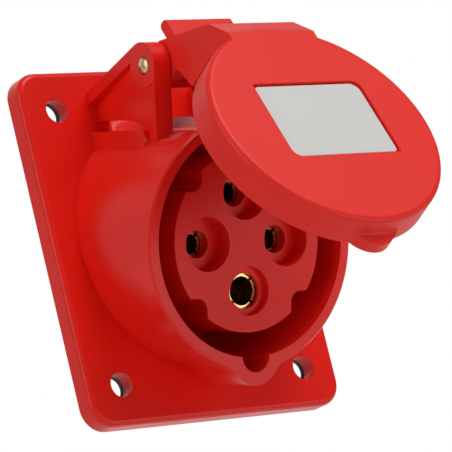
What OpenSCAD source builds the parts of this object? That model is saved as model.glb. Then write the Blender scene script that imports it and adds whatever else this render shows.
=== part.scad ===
// Angled panel socket: a flange with a tilted round collar, a four-contact insert and a hinged lid.
// Origin at the centre of the flange's back face, +Z up, -Y out of the panel towards the user.
// Pieces of the collar are drawn along its axis: local Y is up the rim, local Z is out of the mouth.

/* [Flange] */
// Width of the flange
flange_w = 76; // [74:1:84]
// Height of the flange
flange_h = 90; // [88:1:98]
// Thickness of the flange
flange_t = 5.5; // [5:0.25:7]
// Radius of the flange's corners
flange_corner_r = 6; // [4:0.5:8]
// Rounding of the flange's front edges
flange_edge_r = 1.5; // [0.5:0.25:2]
// Sideways distance between the fixing holes
hole_span_x = 56; // [54:1:58]
// Upright distance between the fixing holes
hole_span_z = 70; // [68:1:72]
// Diameter of the fixing holes
fix_hole_d = 6.3; // [5:0.1:6.8]
// Thickness of the gasket let into the flange's back
gasket_t = 1.5; // [1:0.25:2]
// Width of the flange's rim around the gasket
gasket_lip = 2; // [1.5:0.25:3]

/* [Collar] */
// Downward tilt of the collar's axis in degrees
tilt = 18.5; // [15:0.5:20]
// Height at which the collar's axis crosses the panel
axis_z = 1.5; // [0:0.25:2.5]
// Distance along the axis from the panel to the rim
collar_reach = 33.7; // [33:0.1:36]
// Outer radius of the collar
collar_r = 30.7; // [30.3:0.1:31]
// Radius of the collar's mouth
mouth_r = 27.8; // [27.2:0.1:28.2]
// Chamfer at the rim's outer edge
rim_chamfer = 0.5; // [0.2:0.1:0.8]
// Depth of the ring-shaped space for the plug
plug_depth = 37; // [35:0.5:38]
// Thickness of the floor behind that space
floor_t = 3; // [2.5:0.25:3.5]
// Half width of the key slot
key_r = 4.1; // [3.6:0.1:4.4]
// Distance from the axis to the middle of the key slot's round end
key_reach = 27.4; // [26.8:0.1:28]
// Wall around the key slot
key_wall = 3.2; // [2.5:0.1:3.6]
// Rounding between that wall and the collar
key_blend_r = 4; // [2:0.5:6]
// Half width of the shoulders on top of the collar
shoulder_half_w = 19.5; // [18.5:0.25:21]
// Height of the shoulders above the axis
shoulder_rise = 27.8; // [26.5:0.1:29]
// Distance from the rim to the shoulders' front
shoulder_back = 15.5; // [13:0.5:17]

/* [Hinge] */
// Height of the hinge pin above the collar's axis
pin_rise = 43.4; // [42.8:0.1:44.5]
// Distance of the hinge pin behind the rim
pin_back = 16.2; // [15.6:0.1:16.8]
// Diameter of the hinge pin
pin_d = 4.2; // [3.6:0.1:4.6]
// How far the pin's round ends stand out of the ears
pin_dome = 0.7; // [0.4:0.1:1]
// Radial clearance of the lid's bore on the pin
pin_clearance = 0.08; // [0.03:0.01:0.1]
// Distance between the ears
ear_gap = 26.4; // [25:0.2:28]
// Thickness of each ear
ear_t = 5; // [4:0.25:6]
// Radius of the ears' crown
ear_r = 5.2; // [4.8:0.1:5.6]
// Distance from the pin's axis up to the middle of the crown
crown_up = 0.5; // [0:0.1:0.8]
// Distance from the pin's axis back to the middle of the crown
crown_back = 1; // [0.5:0.1:1.2]
// Thickness of the ears' front legs
ear_leg = 6.5; // [5.5:0.25:8]
// Height at which the ears' sloped edge meets the flange
ear_foot_z = 39.1; // [37:0.1:40]
// Width of the rib along that edge
rib_w = 2.9; // [2:0.1:3.5]
// Depth of the pocket below the rib, at the flange
pocket_depth = 2.7; // [1.5:0.1:3]
// Radius of the raised ring around the pin's end
ear_boss_r = 5.3; // [4.6:0.1:5.6]
// Height of the window's top above the collar's axis
window_rise = 30.4; // [29.6:0.1:31.2]

/* [Contacts] */
// Radius of the circle that the contacts stand on
pitch_r = 11.9; // [11.5:0.1:12.2]
// Diameter of a phase pin
phase_pin_d = 5; // [4.6:0.1:5.4]
// Diameter of the earth pin
earth_pin_d = 7; // [6.6:0.1:7.2]
// Radial clearance of a sleeve around its pin
pin_play = 0.05; // [0.02:0.01:0.1]
// Wall of the contact sleeves
sleeve_wall = 1; // [0.8:0.1:1.1]
// Width of the slits in the sleeves
slit_w = 0.7; // [0.5:0.1:1]
// Length of the slits in the sleeves
slit_len = 13; // [10:0.5:15]
// Thickness of the clip rings on the sleeves
clip_t = 0.6; // [0.4:0.1:0.7]
// Length of the clip rings
clip_len = 5; // [3:0.5:7]
// Radius of the terminals behind the sleeves
terminal_r = 4.4; // [4:0.1:4.6]
// Length of the terminals
terminal_len = 15.5; // [14:0.5:18]
// Radius of the wire holes in the terminals
wire_hole_r = 1.7; // [1.4:0.1:2]
// Radius of the terminal screws' threads
clamp_screw_r = 1.5; // [1.2:0.1:1.7]

/* [Insert] */
// Radius of the contact insert
insert_r = 21.85; // [21.5:0.05:22.2]
// Distance of the insert's face below the rim
insert_sink = 1.7; // [1:0.1:2.5]
// Distance of the notches' walls from the insert's middle planes
notch_in = 12.8; // [12.4:0.1:13.4]
// Rounding inside the notches
notch_r = 2.8; // [1.5:0.1:3.4]
// Depth of the notches from the insert's face
notch_depth = 16; // [10:0.5:20]
// Radius of the funnels in front of the phase contacts
funnel_r = 6.6; // [6:0.1:6.9]
// Depth of those funnels
funnel_depth = 4.5; // [3.5:0.1:5.5]
// Radius of the holes behind the funnels
phase_hole_r = 3.4; // [3:0.05:3.5]
// Radius of the recess in front of the earth contact
earth_recess_r = 6; // [5.4:0.1:6.4]
// Depth of that recess
earth_recess_depth = 1.8; // [1:0.1:2.4]
// Radius of the hole behind that recess
earth_hole_r = 4.35; // [4:0.05:4.45]
// Thickness of the lip that holds each sleeve in
lip_t = 3; // [2:0.25:4]
// Thickness of the lip at the earth contact
earth_lip_t = 1; // [0.6:0.1:2]
// Radius of the insert's tail in the floor
tail_r = 18.7; // [18.2:0.1:19.2]
// Thickness of the seal between insert and floor
seal_t = 1; // [0.6:0.1:1.4]

/* [Terminal carrier] */
// Width of the carrier's rim behind the floor
carrier_rim = 5; // [4:0.25:5.5]
// Thickness of the carrier's disc
disc_t = 3.5; // [3:0.25:4.5]
// Wall of the towers around the terminals
tower_wall = 2.1; // [1.5:0.1:2.4]
// Height of the towers behind the disc
tower_h = 16; // [14:0.5:20]
// Distance of the two carrier screws from the axis
carrier_screw_at = 15.6; // [15:0.1:16]
// Radius of the carrier screws
carrier_screw_r = 1.4; // [1.2:0.1:1.6]
// Length of the carrier screws below their heads
carrier_screw_len = 15; // [12:0.5:18]

/* [Lid] */
// Angle in degrees by which the lid stands open
lid_open = 41.7; // [30:0.1:60]
// Outer radius of the lid's cap
lid_r = 30.8; // [30.4:0.1:31.2]
// How far the closed cap sits up from the collar's axis
lid_up = 1.2; // [0.6:0.1:1.4]
// Gap between the closed lid and the rim
lid_gap = 0.3; // [0.2:0.05:0.5]
// Height of the cap
lid_h = 8.2; // [7.6:0.1:9]
// Wall of the cap
lid_wall = 2.2; // [1.8:0.1:2.4]
// Thickness of the cap's skirt
skirt_t = 1.7; // [1.4:0.1:1.9]
// Rounding of the cap's face edge
lid_edge_r = 1.5; // [0.8:0.1:1.8]
// Width of the seal inside the lid
lid_seal_w = 3; // [2.5:0.1:3.2]
// How far the seal stands out past the rib inside it
lid_seal_out = 2; // [1.5:0.1:2.4]
// Thickness of the rib that keeps the seal in place
seal_rib_t = 1.4; // [1:0.1:1.8]
// Radius of the cap's nose
nose_r = 7; // [6:0.1:7.4]
// Distance from the cap's middle to the nose's middle
nose_reach = 26.7; // [26:0.1:27.4]
// Radius of the hollow in the nose's face
nose_scoop_r = 9.9; // [8:0.1:12]
// Width of the arm between the ears
arm_w = 25.8; // [20:0.1:25.9]
// Radius of the arm around the pin
arm_boss_r = 5.6; // [5:0.1:5.8]
// Width of the thumb tab
tab_w = 19.8; // [14:0.2:20]
// Height of the thumb tab above the pin
tab_rise = 9.7; // [9:0.1:10.4]
// Thickness of the thumb tab
tab_t = 3; // [2:0.1:3.4]

/* [Label] */
// Width of the label recess
label_w = 32; // [26:0.5:34]
// Height of the label recess
label_h = 23; // [18:0.5:24]
// Depth of the label recess
label_depth = 1.2; // [0.8:0.1:1.4]
// Sideways place of the recess on the cap
label_x = 1; // [-1:0.5:1.5]
// Height of the recess's middle above the cap's middle
label_up = 1.2; // [-1:0.1:2]
// Larger corner radius of the recess
label_big_r = 2.6; // [1.5:0.1:3.5]
// Smaller corner radius of the recess
label_small_r = 0.5; // [0.3:0.1:1]
// Gap between the recess and the plate in it
label_gap = 0.5; // [0.2:0.1:0.8]
// Thickness of the plate
plate_t = 0.7; // [0.4:0.1:0.8]

/* [Spring] */
// Radius of the spring's wire
wire_r = 0.45; // [0.35:0.05:0.5]
// Number of turns of the spring
spring_turns = 5; // [3:1:6]
// Length of the spring's leg in the lid
spring_leg = 9; // [7:0.5:10]

/* [Hidden] */
$fn = 96;
through = 200;
cut = 0.5;
air = 0.3;
thin = 0.05;
plastic_red = [0.84, 0.14, 0.11];
// places along the collar's axis
floor_w = collar_reach - plug_depth;
floor_back_w = floor_w - floor_t;
insert_face_w = collar_reach - insert_sink;
insert_base_w = floor_w + seal_t;
tail_out = 1;
tail_end_w = floor_back_w - tail_out;
disc_back_w = floor_back_w - disc_t;
seat_w = tail_end_w - 0.2;
tower_end_w = disc_back_w - tower_h;
ear_front_w = collar_reach - pin_back - crown_back + ear_r;
leg_back_w = ear_front_w - ear_leg;
shoulder_front_w = collar_reach - shoulder_back;
// hinge pin and crown in the plane across the hinge: [height above axis, place along axis]
pin_at = [pin_rise, collar_reach - pin_back];
crown_at = pin_at + [crown_up, -crown_back];
pin_r = pin_d / 2;
ear_out = ear_gap / 2 + ear_t;
// contacts: [direction in degrees, pin radius, front of the sleeve along the axis]
phase_r = phase_pin_d / 2 + pin_play;
earth_r = earth_pin_d / 2 + pin_play;
phase_front_w = insert_face_w - funnel_depth - lip_t - air;
earth_front_w = insert_face_w - earth_recess_depth - earth_lip_t - air;
phase_angles = [180, 90, 0];
earth_angle = 270;
clip_back = 2.5;
shoulder_t = 1.5;
shoulder_over = 0.9;
// lid when closed
lid_foot_w = collar_reach + lid_gap;
lid_face_w = lid_foot_w + lid_h;
arm_clear_r = collar_r + 0.6;

// turns [y, z] in the panel's frame into [height above axis, place along axis]
function to_axis(y, z) = [
    cos(tilt) * (z - axis_z) - sin(tilt) * y,
    -cos(tilt) * y - sin(tilt) * (z - axis_z)
];
// point where a line from p touches a circle, on the side given by +1 or -1
function touch_point(p, c, r, side) =
    let (d = norm(c - p), along = atan2((c - p)[1], (c - p)[0]), half = asin(r / d))
    p + sqrt(d * d - r * r) * [cos(along + side * half), sin(along + side * half)];

// ---------- frames and shared shapes ----------

// stands things on the collar's axis
module on_axis() {
    translate([0, 0, axis_z])
    rotate([90 + tilt, 0, 0])
        children();
}

// stands things in the lid, drawn closed and shown open
module in_lid() {
    on_axis()
    translate([0, pin_at[0], pin_at[1]])
    rotate([-lid_open, 0, 0])
    translate([0, -pin_at[0], -pin_at[1]])
        children();
}

// pushes an outline of [height above axis, place along axis] sideways, from x0 to x1
module across(x0, x1) {
    translate([x0, 0, 0])
    rotate([90, 0, 90])
    linear_extrude(x1 - x0)
        children();
}

// stands things at a contact's place
module at_contact(angle) {
    rotate([0, 0, angle])
    translate([pitch_r, 0, 0])
        children();
}

// outline of a rectangle with one radius at its corners
module round_rect(w, h, r) {
    square([w - 2 * r, h], center = true);
    square([w, h - 2 * r], center = true);
    for (sx = [-1, 1], sy = [-1, 1])
        translate([sx * (w / 2 - r), sy * (h / 2 - r)])
            circle(r);
}

// outline of the label: two corners on one diagonal are rounder than the others
module label_shape(w, h, big, small) {
    difference() {
        square([w, h], center = true);
        for (turn = [0, 180]) {
            rotate(turn)
                corner_cut(w / 2, h / 2, big);
            rotate(turn)
            mirror([1, 0])
                corner_cut(w / 2, h / 2, small);
        }
    }
}

// what a rounded corner at [x, y] takes away
module corner_cut(x, y, r) {
    difference() {
        translate([x - r, y - r])
            square(r + cut);
        translate([x - r, y - r])
            circle(r);
    }
}

// half section of a flange edge, with its front rounded
module edge_section(width) {
    square([width - flange_edge_r, flange_t]);
    square([width, flange_t - flange_edge_r]);
    translate([width - flange_edge_r, flange_t - flange_edge_r])
        circle(flange_edge_r);
}

// the collar's outline with the wall of its key slot, blended into it
module collar_shape() {
    wall_r = key_r + key_wall;
    near = collar_r + key_blend_r;
    far = wall_r + key_blend_r;
    down = (near * near - far * far + key_reach * key_reach) / (2 * key_reach);
    side = sqrt(near * near - down * down);
    circle(collar_r);
    translate([0, -key_reach])
        circle(wall_r);
    for (s = [-1, 1])
        difference() {
            polygon([[0, 0], [s * side, -down], [0, -key_reach]]);
            translate([s * side, -down])
                circle(key_blend_r);
        }
}

// ---------- housing ----------

module flange_plate() {
    inner_w = flange_w - 2 * flange_corner_r;
    inner_h = flange_h - 2 * flange_corner_r;
    rotate([90, 0, 0]) {
        for (sx = [-1, 1], sy = [-1, 1])
            translate([sx * inner_w / 2, sy * inner_h / 2, 0])
            rotate_extrude()
            intersection() {
                edge_section(flange_corner_r);
                square([flange_corner_r, flange_t]);
            }
        for (turn = [0, 180]) {
            rotate([0, 0, turn])
            translate([inner_w / 2, inner_h / 2, 0])
            rotate([90, 0, 0])
            linear_extrude(inner_h)
                edge_section(flange_corner_r);
            rotate([0, 0, turn + 90])
            translate([inner_h / 2, inner_w / 2, 0])
            rotate([90, 0, 0])
            linear_extrude(inner_w)
                edge_section(flange_corner_r);
        }
        translate([-inner_w / 2, -inner_h / 2, 0])
            cube([inner_w, inner_h, flange_t]);
    }
}

// side view of an ear: front leg, round crown, sloped web and the window under the web
module ear_shape() {
    foot = to_axis(-flange_t, ear_foot_z);
    inside = to_axis(-flange_t / 2, ear_foot_z - 1);
    top = touch_point(foot, crown_at, ear_r, -1);
    base = to_axis(-flange_t / 2, 0)[1] - pin_rise * sin(tilt);
    arc_r = 13.3;
    difference() {
        union() {
            translate([collar_r / 2, leg_back_w])
                square([crown_at[0] - collar_r / 2, ear_leg]);
            translate(crown_at)
                circle(ear_r);
            polygon([inside, foot, top, crown_at, [crown_at[0], ear_front_w - cut],
                [window_rise - 3, ear_front_w - cut], [window_rise - 3, inside[1]]]);
        }
        translate([0, base])
            square([window_rise, leg_back_w - ear_leg - base]);
        intersection() {
            translate([window_rise - arc_r, leg_back_w - ear_leg])
                circle(arc_r);
            translate([0, leg_back_w - ear_leg - cut])
                square([window_rise, ear_leg + cut]);
        }
    }
}

// side view of the shallow pocket: all below the rib and outside the ring round the pin
module pocket_shape() {
    foot = to_axis(-flange_t, ear_foot_z);
    top = touch_point(foot, crown_at, ear_r, -1);
    along = (top - foot) / norm(top - foot);
    inward = [-along[1], along[0]] * -1;
    low = inward[0] < 0 ? inward : -inward;
    difference() {
        polygon([foot + low * rib_w - along * 10, top + low * rib_w + along * 10,
            [collar_r / 2, ear_front_w + 10], [collar_r / 2, foot[1] - 10]]);
        translate(pin_at)
            circle(ear_boss_r);
    }
}

// wedge of the pocket, deepest at the flange and running out at the ear's front
module pocket_wedge() {
    back_w = to_axis(-flange_t, ear_foot_z)[1];
    intersection() {
        across(ear_out - pocket_depth - cut, ear_out + cut)
            pocket_shape();
        translate([0, through / 2, 0])
        rotate([90, 0, 0])
        linear_extrude(through)
            polygon([[ear_out + cut, back_w - 3], [ear_out - pocket_depth, back_w - 3],
                [ear_out - pocket_depth, back_w], [ear_out, ear_front_w], [ear_out + cut, ear_front_w]]);
    }
}

module ears() {
    difference() {
        for (s = [-1, 1])
            across(s * (ear_gap / 2 + ear_t / 2) - ear_t / 2, s * (ear_gap / 2 + ear_t / 2) + ear_t / 2)
                ear_shape();
        for (s = [0, 1])
            mirror([s, 0, 0])
                pocket_wedge();
    }
}

// everything that stands along the collar's axis
module collar_body() {
    back_w = to_axis(-flange_t / 2, axis_z + shoulder_rise)[1];
    translate([0, 0, floor_back_w])
    linear_extrude(collar_reach - floor_back_w)
        collar_shape();
    translate([-shoulder_half_w, 0, back_w])
        cube([2 * shoulder_half_w, shoulder_rise, shoulder_front_w - back_w]);
    ears();
}

// chamfer cut at the rim's outer edge, left off where the key slot's wall stands
module rim_cut() {
    rotate([0, 0, -60])
    rotate_extrude(angle = 300)
    translate([collar_r, collar_reach])
        polygon([[-rim_chamfer, cut / 10], [cut, cut / 10], [cut, -rim_chamfer - cut], [0, -rim_chamfer]]);
}

module gasket_shape(gap) {
    round_rect(flange_w - 2 * gasket_lip - 2 * gap, flange_h - 2 * gasket_lip - 2 * gap,
        flange_corner_r - gasket_lip);
}

module housing() {
    color(plastic_red)
    difference() {
        union() {
            flange_plate();
            on_axis()
                collar_body();
        }
        // plug space, key slot and floor hole
        on_axis() {
            translate([0, 0, floor_w])
                cylinder(h = through, r = mouth_r);
            translate([0, 0, floor_w])
            linear_extrude(through) {
                translate([0, -key_reach])
                    circle(key_r);
                translate([-key_r, -key_reach])
                    square([2 * key_r, key_reach]);
            }
            translate([0, 0, floor_back_w - cut])
                cylinder(h = floor_t + 2 * cut, r = tail_r + air);
            translate([0, 0, floor_back_w])
            linear_extrude(floor_t + cut)
                key_rib_shape(0.2);
            rim_cut();
            // tilted seat for the terminal carrier
            translate([0, 0, floor_back_w - through])
                cylinder(h = through, r = tail_r + carrier_rim + air);
            // bores for the hinge pin
            translate([0, pin_at[0], pin_at[1]])
            rotate([0, 90, 0])
                cylinder(h = through, r = pin_r + thin, center = true);
        }
        // fixing holes
        for (sx = [-1, 1], sz = [-1, 1])
            translate([sx * hole_span_x / 2, 0, sz * hole_span_z / 2])
            rotate([90, 0, 0])
                cylinder(h = through, r = fix_hole_d / 2, center = true);
        // seat for the gasket
        difference() {
            translate([0, cut, 0])
            rotate([90, 0, 0])
            linear_extrude(gasket_t + cut)
                gasket_shape(0);
            on_axis()
            translate([0, 0, -through / 2])
            linear_extrude(through)
                collar_shape();
        }
    }
}

// rib that stops the insert turning in the floor
module key_rib_shape(gap) {
    translate([-1.5 - gap, tail_r - 1])
        square([3 + 2 * gap, 2.2 + gap]);
}

module flange_gasket() {
    color([0.12, 0.12, 0.13])
    difference() {
        rotate([90, 0, 0])
        linear_extrude(gasket_t)
            gasket_shape(0.15);
        for (sx = [-1, 1], sz = [-1, 1])
            translate([sx * hole_span_x / 2, 0, sz * hole_span_z / 2])
            rotate([90, 0, 0])
                cylinder(h = through, r = fix_hole_d / 2, center = true);
        on_axis()
        translate([0, 0, -through / 2])
        linear_extrude(through) {
            circle(collar_r + air);
            translate([0, -key_reach])
                circle(key_r + key_wall + air);
            translate([-key_r - key_wall - 3, -key_reach - 2])
                square([2 * (key_r + key_wall + 3), key_reach]);
        }
    }
}

// ---------- insert ----------

module contact_insert() {
    color(plastic_red)
    on_axis()
    difference() {
        union() {
            translate([0, 0, insert_base_w])
                cylinder(h = insert_face_w - insert_base_w, r = insert_r);
            translate([0, 0, tail_end_w])
                cylinder(h = insert_base_w - tail_end_w + cut, r = tail_r);
            translate([0, 0, floor_back_w + 0.2])
            linear_extrude(insert_base_w - floor_back_w)
                key_rib_shape(0);
        }
        for (turn = [0 : 90 : 270])
            rotate([0, 0, turn])
            translate([0, 0, insert_face_w - notch_depth])
            linear_extrude(notch_depth + cut)
                notch_shape();
        for (angle = phase_angles)
            at_contact(angle)
                contact_hole(phase_hole_r, funnel_r, funnel_depth, lip_t, phase_r);
        at_contact(earth_angle) {
            contact_hole(earth_hole_r, earth_recess_r, earth_recess_depth, earth_lip_t, earth_r);
            // small side window that shows the earth sleeve's rim
            translate([0.8, -earth_hole_r, insert_face_w - earth_recess_depth - earth_lip_t - cut])
                cylinder(h = earth_lip_t + 2 * cut, r = 1.3);
        }
        for (angle = [45, 225])
            rotate([0, 0, angle])
            translate([carrier_screw_at, 0, tail_end_w - cut])
                cylinder(h = carrier_screw_len - disc_t + cut, r = carrier_screw_r + thin);
    }
}

// outline of one notch: a corner cut with a round inner corner and round shoulders
module notch_shape() {
    reach = insert_r + 2;
    difference() {
        translate([notch_in, notch_in])
            square(reach - notch_in);
        difference() {
            translate([notch_in, notch_in])
                square(notch_r);
            translate([notch_in + notch_r, notch_in + notch_r])
                circle(notch_r);
        }
    }
}

// stepped hole for one contact: funnel, lip, sleeve pocket and shoulder seat
module contact_hole(hole_r, mouth, depth, lip, bore_r) {
    pocket_r = bore_r + sleeve_wall + clip_t + air;
    pocket_top = insert_face_w - depth - lip;
    translate([0, 0, insert_face_w - depth])
        cylinder(h = depth + cut, r = mouth);
    translate([0, 0, pocket_top - cut])
        cylinder(h = lip + 2 * cut, r = hole_r);
    translate([0, 0, tail_end_w - cut])
        cylinder(h = pocket_top - tail_end_w + cut, r = pocket_r);
    translate([0, 0, tail_end_w - cut])
        cylinder(h = shoulder_t + air + cut, r = shoulder_r(bore_r) + air);
}

function shoulder_r(bore_r) = max(bore_r + sleeve_wall + clip_t + air, terminal_r + air) + shoulder_over;

module insert_seal() {
    color([0.1, 0.1, 0.11])
    on_axis()
    translate([0, 0, floor_w])
    difference() {
        cylinder(h = seal_t, r = insert_r - 0.6);
        translate([0, 0, -cut])
            cylinder(h = seal_t + 2 * cut, r = tail_r + 0.5);
        translate([0, 0, -cut])
        linear_extrude(seal_t + 2 * cut)
            key_rib_shape(0.3);
    }
}

// ---------- terminal carrier ----------

module terminal_carrier() {
    tower_r = terminal_r + air + tower_wall;
    color([0.16, 0.16, 0.17])
    on_axis()
    difference() {
        union() {
            translate([0, 0, disc_back_w])
                cylinder(h = disc_t, r = tail_r + carrier_rim);
            translate([0, 0, tower_end_w]) {
                cylinder(h = tower_h + cut, r = pitch_r - 2);
                for (angle = [0 : 90 : 270])
                    at_contact(angle)
                        cylinder(h = tower_h + cut, r = tower_r);
            }
        }
        // seat for the insert's tail
        translate([0, 0, seat_w])
            cylinder(h = through, r = tail_r + air);
        for (angle = [0 : 90 : 270])
            at_contact(angle) {
                translate([0, 0, tower_end_w - cut])
                    cylinder(h = through, r = terminal_r + air);
                // window over the clamp screw
                translate([0, 0, clamp_screw_w()])
                rotate([0, 90, 0])
                    cylinder(h = through, r = clamp_head_r() + air);
            }
        for (angle = [45, 225])
            rotate([0, 0, angle])
            translate([carrier_screw_at, 0, disc_back_w - cut])
                cylinder(h = disc_t + 2 * cut, r = carrier_screw_r + air);
        // hollow middle between the towers
        translate([0, 0, tower_end_w - cut])
            cylinder(h = tower_h - 2, r = pitch_r - terminal_r - tower_wall - 1);
    }
}

function clamp_screw_w() = seat_w - terminal_len * 0.55;
function clamp_head_r() = clamp_screw_r + 1;

// ---------- contacts ----------

// slit sleeve, trapped shoulder and terminal, all turned from one bar
module contact(angle, bore_r, front_w) {
    sleeve_r = bore_r + sleeve_wall;
    color([0.78, 0.62, 0.3])
    on_axis()
    at_contact(angle)
    difference() {
        union() {
            translate([0, 0, seat_w])
                cylinder(h = front_w - seat_w, r = sleeve_r);
            translate([0, 0, seat_w])
                cylinder(h = shoulder_t, r = shoulder_r(bore_r));
            translate([0, 0, seat_w - terminal_len])
                cylinder(h = terminal_len + cut, r = terminal_r);
        }
        translate([0, 0, seat_w + shoulder_t])
            cylinder(h = through, r = bore_r);
        for (turn = [45, 135])
            rotate([0, 0, turn])
            translate([-sleeve_r - cut, -slit_w / 2, front_w - slit_len])
                cube([2 * (sleeve_r + cut), slit_w, slit_len + cut]);
        translate([0, 0, seat_w - terminal_len - cut])
            cylinder(h = terminal_len * 0.7 + cut, r = wire_hole_r);
        translate([0, 0, clamp_screw_w()])
        rotate([0, 90, 0])
            cylinder(h = through, r = clamp_screw_r + thin);
    }
}

// open steel ring that presses the sleeve's fingers together
module clip_ring(angle, bore_r, front_w) {
    inner_r = bore_r + sleeve_wall + thin;
    color([0.62, 0.63, 0.65])
    on_axis()
    at_contact(angle)
    translate([0, 0, front_w - clip_back - clip_len])
    difference() {
        cylinder(h = clip_len, r = inner_r + clip_t);
        translate([0, 0, -cut])
            cylinder(h = clip_len + 2 * cut, r = inner_r);
        translate([0, -slit_w, -cut])
            cube([through, 2 * slit_w, clip_len + 2 * cut]);
    }
}

module contact_l1() { contact(phase_angles[0], phase_r, phase_front_w); }
module contact_l2() { contact(phase_angles[1], phase_r, phase_front_w); }
module contact_l3() { contact(phase_angles[2], phase_r, phase_front_w); }
module contact_earth() { contact(earth_angle, earth_r, earth_front_w); }
module clip_ring_l1() { clip_ring(phase_angles[0], phase_r, phase_front_w); }
module clip_ring_l2() { clip_ring(phase_angles[1], phase_r, phase_front_w); }
module clip_ring_l3() { clip_ring(phase_angles[2], phase_r, phase_front_w); }
module clip_ring_earth() { clip_ring(earth_angle, earth_r, earth_front_w); }

// four slotted screws that clamp the wires
module clamp_screws() {
    head_h = 1.8;
    tip = wire_hole_r - 0.2;
    color([0.7, 0.7, 0.72])
    on_axis()
    for (angle = [0 : 90 : 270])
        at_contact(angle)
        translate([0, 0, clamp_screw_w()])
        rotate([0, 90, 0])
        difference() {
            union() {
                translate([0, 0, tip])
                    cylinder(h = terminal_r + air - tip, r = clamp_screw_r);
                translate([0, 0, terminal_r + 0.1])
                    cylinder(h = head_h, r = clamp_head_r());
            }
            translate([-0.4, -through / 2, terminal_r + 0.1 + head_h * 0.5])
                cube([0.8, through, head_h]);
        }
}

// two cross-head screws that clamp the floor between insert and carrier
module carrier_screws() {
    head_h = 2;
    head_r = carrier_screw_r + 1.2;
    color([0.7, 0.7, 0.72])
    on_axis()
    for (angle = [45, 225])
        rotate([0, 0, angle])
        translate([carrier_screw_at, 0, disc_back_w])
        difference() {
            union() {
                cylinder(h = carrier_screw_len - 1, r = carrier_screw_r);
                translate([0, 0, -head_h])
                    cylinder(h = head_h, r = head_r);
            }
            for (turn = [0, 90])
                rotate([0, 0, turn])
                translate([-head_r * 0.6, -0.35, -head_h - cut])
                    cube([head_r * 1.2, 0.7, head_h * 0.5 + cut]);
        }
}

// ---------- hinge ----------

module hinge_pin() {
    half = ear_out + pin_dome;
    ball_r = (pin_r * pin_r + pin_dome * pin_dome) / (2 * pin_dome);
    color([0.72, 0.58, 0.42])
    on_axis()
    translate([0, pin_at[0], pin_at[1]])
    rotate([0, 90, 0])
    union() {
        cylinder(h = 2 * ear_out, r = pin_r, center = true);
        for (s = [-1, 1])
            intersection() {
                translate([0, 0, s * (half - ball_r)])
                    sphere(ball_r);
                translate([0, 0, s * (ear_out + pin_dome / 2)])
                    cylinder(h = pin_dome, r = pin_r, center = true);
            }
    }
}

// centre line of the spring: straight leg, coil round the pin, straight leg
coil_r = pin_r + 0.5 + wire_r;
coil_pitch = 2 * wire_r + 0.1;
steps = 12;
// directions in degrees at which the legs leave the coil; one bears on the collar, one on the lid
leg_a = -105;
leg_in_lid = 33.7;
leg_b = 360 * (spring_turns - 1) + leg_in_lid - lid_open;
collar_leg = (pin_rise + coil_r * cos(leg_a) - collar_r - air) / -sin(leg_a);
function coil_point(a) = [
    coil_pitch * ((a - leg_a) / 360 - (leg_b - leg_a) / 720),
    coil_r * cos(a), coil_r * sin(a)
];
function way(a) = [0, -sin(a), cos(a)];
coil_angles = [for (i = [0 : ceil((leg_b - leg_a) / 360 * steps)])
    leg_a + i * (leg_b - leg_a) / ceil((leg_b - leg_a) / 360 * steps)];
// each ring of the wire: [middle, outward angle]
wire_rings = concat(
    [[coil_point(leg_a) - way(leg_a) * collar_leg, leg_a]],
    [for (a = coil_angles) [coil_point(a), a]],
    [[coil_point(leg_b) + way(leg_b) * spring_leg, leg_b]]
);

module hinge_spring() {
    sides = 8;
    count = len(wire_rings);
    points = [for (ring = wire_rings, j = [0 : sides - 1])
        ring[0] + wire_r * cos(j * 360 / sides) * [0, cos(ring[1]), sin(ring[1])]
            + wire_r * sin(j * 360 / sides) * [1, 0, 0]];
    walls = [for (i = [0 : count - 2], j = [0 : sides - 1])
        [i * sides + j, (i + 1) * sides + j, (i + 1) * sides + (j + 1) % sides, i * sides + (j + 1) % sides]];
    color([0.66, 0.67, 0.69])
    on_axis()
    translate([0, pin_at[0], pin_at[1]])
        polyhedron(points, concat(walls,
            [[for (j = [0 : sides - 1]) j]],
            [[for (j = [sides - 1 : -1 : 0]) (count - 1) * sides + j]]));
}

// ---------- lid ----------

// cap, turned: skirt, face with a round edge, seal groove and the rib inside it
module cap() {
    seal_r = lid_r - skirt_t;
    groove_w = lid_seal_w + 0.2;
    translate([0, lid_up, 0])
    rotate_extrude()
    difference() {
        union() {
            translate([0, lid_foot_w])
                square([lid_r, lid_h - lid_edge_r]);
            translate([0, lid_foot_w])
                square([lid_r - lid_edge_r, lid_h]);
            translate([lid_r - lid_edge_r, lid_face_w - lid_edge_r])
                circle(lid_edge_r);
        }
        translate([seal_r - groove_w, lid_foot_w - cut])
            square([groove_w, lid_h - lid_wall + cut]);
        translate([-cut, lid_foot_w - cut])
            square([seal_r - groove_w - seal_rib_t + cut, lid_h - lid_wall + cut]);
        translate([-cut, lid_foot_w - cut])
            square([seal_r - groove_w + 2 * cut, lid_seal_out + cut]);
    }
}

// nose that covers the end of the key slot, its face hollowed for a fingertip
module nose() {
    scoop_v = lid_up - nose_reach - nose_r - 2.9 + 1.1;
    difference() {
        translate([0, lid_up - nose_reach, lid_foot_w])
            cylinder(h = lid_h - 0.2, r = nose_r);
        translate([0, lid_up, lid_foot_w - cut])
            cylinder(h = through, r = lid_r - skirt_t);
        across(-nose_r - cut, nose_r + cut)
        translate([scoop_v, lid_face_w + 4.3])
            circle(nose_scoop_r);
    }
}

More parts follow.
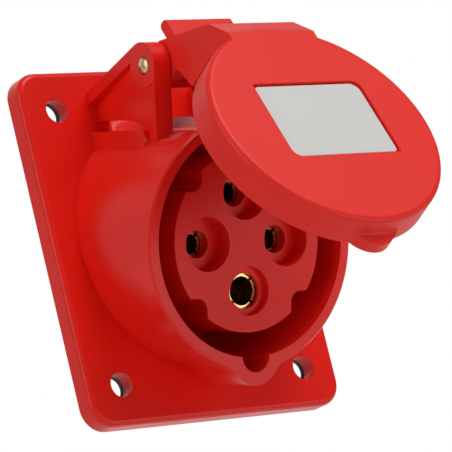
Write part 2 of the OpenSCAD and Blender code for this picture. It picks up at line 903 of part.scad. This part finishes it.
// side view of the arm: slope from the cap's top back to the pin, hooked over the collar
module arm_shape() {
    top = [arm_clear_r + 6, lid_face_w - 4.1];
    cap_in = lid_r * 0.75;
    slope_end = pin_at + arm_out() * [cos(arm_angle()), sin(arm_angle())];
    polygon([
        [cap_in, lid_foot_w + lid_h - lid_wall], [cap_in, lid_face_w],
        [lid_up + lid_r - 1.6, lid_face_w], top, slope_end, pin_at,
        [pin_at[0] - 5.7, pin_at[1] + 4.2], [arm_clear_r, pin_at[1] + 5.4],
        [arm_clear_r, lid_foot_w], [cap_in, lid_foot_w]
    ]);
    translate(pin_at)
        circle(arm_boss_r);
}

function arm_out() = arm_boss_r + 0.3;
function arm_angle() = 36;

// hollow of the arm between its cheeks, open below
module arm_hollow_shape() {
    wall = 2.2;
    polygon([
        [arm_clear_r + wall, pin_at[1]], [arm_clear_r + wall, lid_face_w - 6.5],
        [arm_clear_r + 4.4, lid_face_w - 6.5], [pin_at[0] - 1.2, pin_at[1] + 8.5],
        [pin_at[0] - 4.2, pin_at[1] + 3.6], [pin_at[0] - 5, pin_at[1]]
    ]);
}

module arm() {
    cheek = 2.3;
    spring_room = 6;
    difference() {
        union() {
            across(-arm_w / 2, arm_w / 2)
                arm_shape();
            across(-tab_w / 2, tab_w / 2)
                tab_shape();
        }
        across(-arm_w / 2 + cheek, arm_w / 2 - cheek)
            arm_hollow_shape();
        // room for the spring's coil and legs
        across(-spring_room / 2 - 0.5, spring_room / 2 + 0.5)
        union() {
            translate(pin_at)
                circle(coil_r + wire_r + air);
            translate(pin_at - [collar_leg + 1, collar_leg + 1])
                square([collar_leg + 6, collar_leg + 2]);
            translate(pin_at - [collar_leg, 2])
                square([collar_leg, 8]);
            translate(pin_at)
            rotate(leg_in_lid)
            translate([coil_r - wire_r - air, 0])
                square([2 * (wire_r + air), spring_leg + 1]);
        }
        translate([0, pin_at[0], pin_at[1]])
        rotate([0, 90, 0])
            cylinder(h = through, r = pin_r + pin_clearance, center = true);
        // inside of the cap stays open
        translate([0, lid_up, lid_foot_w - cut])
            cylinder(h = lid_h - lid_wall + cut, r = lid_r - skirt_t);
    }
}

// side view of the thumb tab with its round tip
module tab_shape() {
    front = pin_at[1] + 6.3;
    tip_r = 1.2;
    translate([pin_at[0] + 3, front - tab_t])
        square([tab_rise - 3 - tip_r, tab_t]);
    translate([pin_at[0] + tab_rise - tip_r, front - tip_r])
        circle(tip_r);
    translate([pin_at[0] + tab_rise - tip_r, front - tab_t + tip_r])
        circle(tip_r);
    translate([pin_at[0] + tab_rise - tip_r - cut, front - tab_t + tip_r])
        square([tip_r + cut, tab_t - 2 * tip_r]);
}

module lid() {
    color(plastic_red)
    in_lid()
    difference() {
        union() {
            cap();
            nose();
            arm();
        }
        translate([label_x, lid_up + label_up, lid_face_w - label_depth])
        linear_extrude(label_depth + cut)
            label_shape(label_w, label_h, label_big_r, label_small_r);
    }
}

module lid_seal() {
    seal_r = lid_r - skirt_t - 0.1;
    color([0.1, 0.1, 0.11])
    in_lid()
    translate([0, lid_up, lid_foot_w])
    difference() {
        cylinder(h = lid_h - lid_wall, r = seal_r);
        translate([0, 0, -cut])
            cylinder(h = through, r = seal_r - lid_seal_w);
    }
}

module label_plate() {
    color([0.87, 0.87, 0.85])
    in_lid()
    translate([label_x, lid_up + label_up, lid_face_w - label_depth])
    linear_extrude(plate_t)
        label_shape(label_w - 2 * label_gap, label_h - 2 * label_gap, label_big_r, label_small_r + 0.6);
}

// ---------- drawing ----------

housing();
flange_gasket();
contact_insert();
insert_seal();
terminal_carrier();
contact_l1();
contact_l2();
contact_l3();
contact_earth();
clip_ring_l1();
clip_ring_l2();
clip_ring_l3();
clip_ring_earth();
clamp_screws();
carrier_screws();
hinge_pin();
hinge_spring();
lid();
lid_seal();
label_plate();
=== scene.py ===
import math

import bmesh
import bpy
from mathutils import Matrix, Vector


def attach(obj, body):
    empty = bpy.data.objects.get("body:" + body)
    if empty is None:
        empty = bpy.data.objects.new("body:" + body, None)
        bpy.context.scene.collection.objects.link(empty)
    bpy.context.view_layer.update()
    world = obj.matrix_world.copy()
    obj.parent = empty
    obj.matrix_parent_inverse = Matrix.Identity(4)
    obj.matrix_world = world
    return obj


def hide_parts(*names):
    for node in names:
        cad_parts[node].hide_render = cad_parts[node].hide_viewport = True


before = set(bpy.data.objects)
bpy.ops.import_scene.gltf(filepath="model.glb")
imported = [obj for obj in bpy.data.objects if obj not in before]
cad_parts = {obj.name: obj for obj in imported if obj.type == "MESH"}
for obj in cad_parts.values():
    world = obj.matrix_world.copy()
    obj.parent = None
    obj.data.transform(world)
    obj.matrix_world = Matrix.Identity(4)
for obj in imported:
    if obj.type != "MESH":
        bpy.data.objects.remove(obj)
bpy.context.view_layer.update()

# Angled panel socket. All lengths in metres, +Z up, -Y out of the panel.
MM = 0.001

# ---------- camera ----------
CAMERA_PLACE = Vector((-0.5480, -0.7080, -0.2002))
CAMERA_RIGHT = Vector((0.7908, -0.5664, -0.2320))
CAMERA_UP = Vector((0.0520, -0.3155, 0.9475))
SENSOR = 36.0
LENS = 294.74


def make_camera():
    data = bpy.data.cameras.new("camera")
    data.sensor_width = SENSOR
    data.lens = LENS
    data.clip_start = 0.05
    data.clip_end = 20
    camera = bpy.data.objects.new("camera", data)
    bpy.context.scene.collection.objects.link(camera)
    right = CAMERA_RIGHT.normalized()
    back = right.cross(CAMERA_UP).normalized()
    up = back.cross(right).normalized()
    turn = Matrix((right, up, back)).transposed().to_4x4()
    camera.matrix_world = Matrix.Translation(CAMERA_PLACE) @ turn
    bpy.context.scene.camera = camera


# ---------- shader helpers ----------
class Nodes:
    """Short names for building one node tree."""

    def __init__(self, tree):
        self.tree = tree
        tree.nodes.clear()

    def add(self, kind, values=None, **settings):
        node = self.tree.nodes.new(kind)
        for name, value in settings.items():
            setattr(node, name, value)
        for name, value in (values or {}).items():
            if hasattr(value, "is_linked"):
                self.tree.links.new(value, node.inputs[name])
            else:
                node.inputs[name].default_value = value
        return node

    def ramp(self, factor, stops):
        node = self.add("ShaderNodeMapRange", {"Value": factor})
        names = ("From Min", "From Max", "To Min", "To Max")
        for name, value in zip(names, stops):
            if hasattr(value, "is_linked"):
                self.tree.links.new(value, node.inputs[name])
            else:
                node.inputs[name].default_value = value
        return node.outputs["Result"]

    def maths(self, operation, a, b):
        node = self.add("ShaderNodeMath", {0: a, 1: b}, operation=operation)
        return node.outputs["Value"]

    def tint(self, factor, a, b):
        node = self.add("ShaderNodeMix", data_type="RGBA")
        for index, value in ((0, factor), (6, a), (7, b)):
            if hasattr(value, "is_linked"):
                self.tree.links.new(value, node.inputs[index])
            else:
                node.inputs[index].default_value = value
        return node.outputs[2]


def effect(name, inputs, outputs):
    """An empty node group with named sockets: returns it, its nodes and its input sockets."""
    tree = bpy.data.node_groups.new(name, "ShaderNodeTree")
    for label, kind, default in inputs:
        socket = tree.interface.new_socket(label, in_out="INPUT", socket_type=kind)
        socket.default_value = default
    for label, kind in outputs:
        tree.interface.new_socket(label, in_out="OUTPUT", socket_type=kind)
    nodes = Nodes(tree)
    entry = nodes.add("NodeGroupInput")
    return tree, nodes, entry.outputs


def moulded_surface():
    """Fine spark-eroded grain, slow unevenness of a moulded wall and light handling marks."""
    number, colour = "NodeSocketFloat", "NodeSocketColor"
    tree, n, given = effect(
        "moulded_surface",
        [
            ("Colour", colour, (0.6, 0.02, 0.02, 1)),
            ("Deep Colour", colour, (0.5, 0.01, 0.01, 1)),
            ("Grain Scale", number, 4000.0),
            ("Grain Depth", number, 0.2),
            ("Gloss Low", number, 0.3),
            ("Gloss High", number, 0.4),
        ],
        [("Colour", colour), ("Roughness", number), ("Normal", "NodeSocketVector")],
    )
    place = n.add("ShaderNodeTexCoord").outputs["Object"]
    grain = n.add(
        "ShaderNodeTexNoise",
        {"Vector": place, "Scale": given["Grain Scale"], "Detail": 2.0},
    )
    slow = n.add("ShaderNodeTexNoise", {"Vector": place, "Scale": 45.0, "Detail": 3.0})
    marks = n.add("ShaderNodeTexNoise", {"Vector": place, "Scale": 420.0, "Detail": 4.0})
    cloud = n.ramp(slow.outputs["Fac"], (0.3, 0.7, 0.0, 1.0))
    worn = n.ramp(marks.outputs["Fac"], (0.55, 0.8, 0.0, 1.0))
    blend = n.maths("MULTIPLY", cloud, 0.35)
    shade = n.tint(blend, given["Colour"], given["Deep Colour"])
    gloss = n.ramp(cloud, (0.0, 1.0, given["Gloss Low"], given["Gloss High"]))
    rough = n.maths("ADD", gloss, n.maths("MULTIPLY", worn, 0.06))
    bump = n.add(
        "ShaderNodeBump",
        {
            "Strength": given["Grain Depth"],
            "Distance": 0.00004,
            "Height": grain.outputs["Fac"],
        },
    )
    n.add(
        "NodeGroupOutput",
        {"Colour": shade, "Roughness": rough, "Normal": bump.outputs["Normal"]},
    )
    return tree


def drawn_metal():
    """Metal with fine lathe or drawing lines along one axis and slightly uneven tarnish."""
    number, colour = "NodeSocketFloat", "NodeSocketColor"
    tree, n, given = effect(
        "drawn_metal",
        [
            ("Colour", colour, (0.7, 0.6, 0.4, 1)),
            ("Tarnish", colour, (0.4, 0.3, 0.2, 1)),
            ("Gloss Low", number, 0.2),
            ("Gloss High", number, 0.4),
        ],
        [("Colour", colour), ("Roughness", number), ("Normal", "NodeSocketVector")],
    )
    place = n.add("ShaderNodeTexCoord").outputs["Object"]
    stretch = n.add(
        "ShaderNodeMapping", {"Vector": place, "Scale": (200.0, 5200.0, 1700.0)}
    )
    lines = n.add(
        "ShaderNodeTexNoise",
        {"Vector": stretch.outputs["Vector"], "Scale": 1.0, "Detail": 2.0},
    )
    spots = n.add("ShaderNodeTexNoise", {"Vector": place, "Scale": 260.0, "Detail": 4.0})
    dull = n.ramp(spots.outputs["Fac"], (0.4, 0.75, 0.0, 0.8))
    shade = n.tint(dull, given["Colour"], given["Tarnish"])
    rough = n.ramp(
        lines.outputs["Fac"], (0.3, 0.7, given["Gloss Low"], given["Gloss High"])
    )
    bump = n.add(
        "ShaderNodeBump",
        {"Strength": 0.25, "Distance": 0.00003, "Height": lines.outputs["Fac"]},
    )
    n.add(
        "NodeGroupOutput",
        {"Colour": shade, "Roughness": rough, "Normal": bump.outputs["Normal"]},
    )
    return tree


def finish_from(name, surface, values, shader):
    """A material: one surface effect feeding one Principled shader."""
    material = bpy.data.materials.new(name)
    material.use_nodes = True
    n = Nodes(material.node_tree)
    look = n.add("ShaderNodeGroup", node_tree=surface)
    for label, value in values.items():
        look.inputs[label].default_value = value
    bsdf = n.add(
        "ShaderNodeBsdfPrincipled",
        {
            "Base Color": look.outputs["Colour"],
            "Roughness": look.outputs["Roughness"],
            "Normal": look.outputs["Normal"],
            **shader,
        },
    )
    n.add("ShaderNodeOutputMaterial", {"Surface": bsdf.outputs["BSDF"]})
    return material


def make_finishes():
    moulded, drawn = moulded_surface(), drawn_metal()

    def plastic(name, colour, deep, gloss, grain, specular=0.5):
        """gloss is the range of roughness; grain is its scale and depth."""
        values = {
            "Colour": (*colour, 1),
            "Deep Colour": (*deep, 1),
            "Grain Scale": grain[0],
            "Grain Depth": grain[1],
            "Gloss Low": gloss[0],
            "Gloss High": gloss[1],
        }
        return name, finish_from(name, moulded, values, {"Specular IOR Level": specular})

    def metal(name, colour, tarnish, gloss):
        values = {
            "Colour": (*colour, 1),
            "Tarnish": (*tarnish, 1),
            "Gloss Low": gloss[0],
            "Gloss High": gloss[1],
        }
        return name, finish_from(name, drawn, values, {"Metallic": 1.0})

    finishes = (
        plastic("red_plastic", (0.90, 0.014, 0.006), (0.82, 0.009, 0.005),
                (0.30, 0.36), (2600.0, 0.12), 0.28),
        plastic("lid_plastic", (0.92, 0.022, 0.012), (0.86, 0.016, 0.009),
                (0.42, 0.48), (3400.0, 0.30), 0.32),
        plastic("insert_plastic", (0.84, 0.014, 0.007), (0.76, 0.009, 0.006),
                (0.32, 0.40), (2600.0, 0.15), 0.22),
        plastic("carrier_plastic", (0.05, 0.05, 0.055), (0.035, 0.035, 0.04),
                (0.45, 0.55), (2200.0, 0.3)),
        plastic("seal_rubber", (0.03, 0.03, 0.032), (0.02, 0.02, 0.022),
                (0.65, 0.80), (1600.0, 0.4)),
        plastic("label_white", (0.72, 0.72, 0.69), (0.66, 0.66, 0.64),
                (0.40, 0.50), (3000.0, 0.10)),
        metal("contact_brass", (0.78, 0.55, 0.22), (0.50, 0.33, 0.12), (0.20, 0.34)),
        metal("spring_steel", (0.60, 0.60, 0.61), (0.38, 0.38, 0.39), (0.24, 0.38)),
        metal("screw_steel", (0.68, 0.68, 0.69), (0.45, 0.45, 0.46), (0.25, 0.40)),
        metal("pin_metal", (0.62, 0.47, 0.30), (0.40, 0.29, 0.17), (0.22, 0.36)),
    )
    return dict(finishes)


# ---------- pieces ----------
SHARP = math.radians(28)
FLAT = math.radians(0.6)
DOUBLES = 0.002 * MM
EVEN_WEIGHT = 80


def softened_copy(node, name, body, slot, width, segments=2):
    """The node's own shape with its doubles merged and its hard edges broken by a small radius."""
    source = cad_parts[node]
    mesh = bpy.data.meshes.new(name)
    work = bmesh.new()
    work.from_mesh(source.data)
    bmesh.ops.remove_doubles(work, verts=work.verts, dist=DOUBLES)
    bmesh.ops.dissolve_degenerate(work, edges=work.edges, dist=DOUBLES)
    if width:
        bmesh.ops.dissolve_limit(
            work, angle_limit=FLAT, verts=work.verts, edges=work.edges
        )
        edges = [
            e for e in work.edges
            if len(e.link_faces) == 2 and e.calc_face_angle_signed(0) > SHARP
        ]
        bmesh.ops.bevel(
            work, geom=edges, offset=width, offset_type="OFFSET", affect="EDGES",
            segments=segments, profile=0.5, material=-1, clamp_overlap=True,
        )
    work.to_mesh(mesh)
    work.free()
    mesh.shade_smooth()
    mesh.set_sharp_from_angle(angle=SHARP)
    piece = bpy.data.objects.new(name, mesh)
    bpy.context.scene.collection.objects.link(piece)
    piece.data.materials.append(FINISH[slot])
    even = piece.modifiers.new("even_shading", "WEIGHTED_NORMAL")
    even.keep_sharp = True
    even.weight = EVEN_WEIGHT
    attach(piece, body)
    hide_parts(node)
    return piece


def dress_node(node, slot):
    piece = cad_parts[node]
    piece.data.materials.clear()
    piece.data.materials.append(FINISH[slot])


# ---------- stage and light ----------
ROOM_LEVEL = 0.22
FLOOR_SHADE = 0.85
LAMP_AIM = (0, -0.03, 0.01)
# name, place, size in metres, power in watts
LAMPS = (
    ("key", (0.25, -0.75, 0.95), (0.7, 0.7), 8.5),
    ("fill", (-1.0, -0.08, 0.35), (0.6, 0.9), 3.6),
    ("low_fill", (0.35, -0.9, -0.45), (0.8, 0.4), 1.9),
)


def white_to_camera(name, shade):
    """Pale surface that takes shadow, and is white where the camera or gloss sees it."""
    material = bpy.data.materials.new(name)
    material.use_nodes = True
    n = Nodes(material.node_tree)
    path = n.add("ShaderNodeLightPath")
    seen = n.maths("MAXIMUM", path.outputs["Is Camera Ray"], path.outputs["Is Glossy Ray"])
    seen = n.maths("MAXIMUM", seen, path.outputs["Is Transmission Ray"])
    matt = n.add("ShaderNodeBsdfDiffuse", {"Color": (shade, shade, shade, 1)})
    glow = n.add("ShaderNodeEmission", {"Color": (1, 1, 1, 1), "Strength": 1.0})
    mix = n.add("ShaderNodeMixShader", {0: seen, 1: matt.outputs[0], 2: glow.outputs[0]})
    n.add("ShaderNodeOutputMaterial", {"Surface": mix.outputs[0]})
    return material


def stage_sheet(name, corners, material):
    mesh = bpy.data.meshes.new(name)
    work = bmesh.new()
    work.faces.new([work.verts.new(c) for c in corners])
    work.to_mesh(mesh)
    work.free()
    sheet = bpy.data.objects.new(name, mesh)
    bpy.context.scene.collection.objects.link(sheet)
    sheet.data.materials.append(material)


def make_stage():
    reach, low, far, high = 4.0, -0.55, 3.0, 4.0
    pale = white_to_camera("pale_floor", FLOOR_SHADE)
    stage_sheet(
        "floor",
        [(-reach, -reach, low), (reach, -reach, low), (reach, far, low), (-reach, far, low)],
        pale,
    )
    stage_sheet(
        "backdrop",
        [(-reach, far, low), (reach, far, low), (reach, far, high), (-reach, far, high)],
        pale,
    )


def soft_lamp(name, place, size, power):
    data = bpy.data.lights.new(name, "AREA")
    data.shape = "RECTANGLE"
    data.size, data.size_y = size
    data.energy = power
    lamp = bpy.data.objects.new(name, data)
    bpy.context.scene.collection.objects.link(lamp)
    lamp.location = place
    aim = Vector(LAMP_AIM) - Vector(place)
    lamp.rotation_euler = aim.to_track_quat("-Z", "Y").to_euler()


def make_light():
    world = bpy.data.worlds.new("soft_room")
    bpy.context.scene.world = world
    world.use_nodes = True
    n = Nodes(world.node_tree)
    path = n.add("ShaderNodeLightPath")
    level = n.ramp(path.outputs["Is Camera Ray"], (0.0, 1.0, ROOM_LEVEL, 1.0))
    sky = n.add("ShaderNodeBackground", {"Color": (1, 1, 1, 1), "Strength": level})
    n.add("ShaderNodeOutputWorld", {"Surface": sky.outputs[0]})
    for name, place, size, power in LAMPS:
        soft_lamp(name, place, size, power)
    bpy.context.scene.view_settings.view_transform = "Standard"


# ---------- make it all ----------
make_camera()
FINISH = make_finishes()

softened_copy("housing", "housing_moulding", "socket", "red_plastic", 0.3 * MM)
softened_copy("contact_insert", "insert_moulding", "socket", "insert_plastic", 0.25 * MM)
softened_copy("lid", "lid_moulding", "lid", "lid_plastic", 0.25 * MM)
softened_copy("label_plate", "bare_plate", "lid", "label_white", 0.15 * MM)
softened_copy("terminal_carrier", "carrier_moulding", "socket", "carrier_plastic", 0.3 * MM)

softened_copy("hinge_pin", "rivet_pin", "socket", "pin_metal", 0)
softened_copy("hinge_spring", "torsion_spring", "socket", "spring_steel", 0)
for end in ("l1", "l2", "l3", "earth"):
    softened_copy("contact_" + end, "sleeve_" + end, "socket", "contact_brass", 0.08 * MM, 1)
    dress_node("clip_ring_" + end, "spring_steel")
for node in ("clamp_screws", "carrier_screws"):
    dress_node(node, "screw_steel")
for node in ("flange_gasket", "insert_seal", "lid_seal"):
    dress_node(node, "seal_rubber")

make_stage()
make_light()
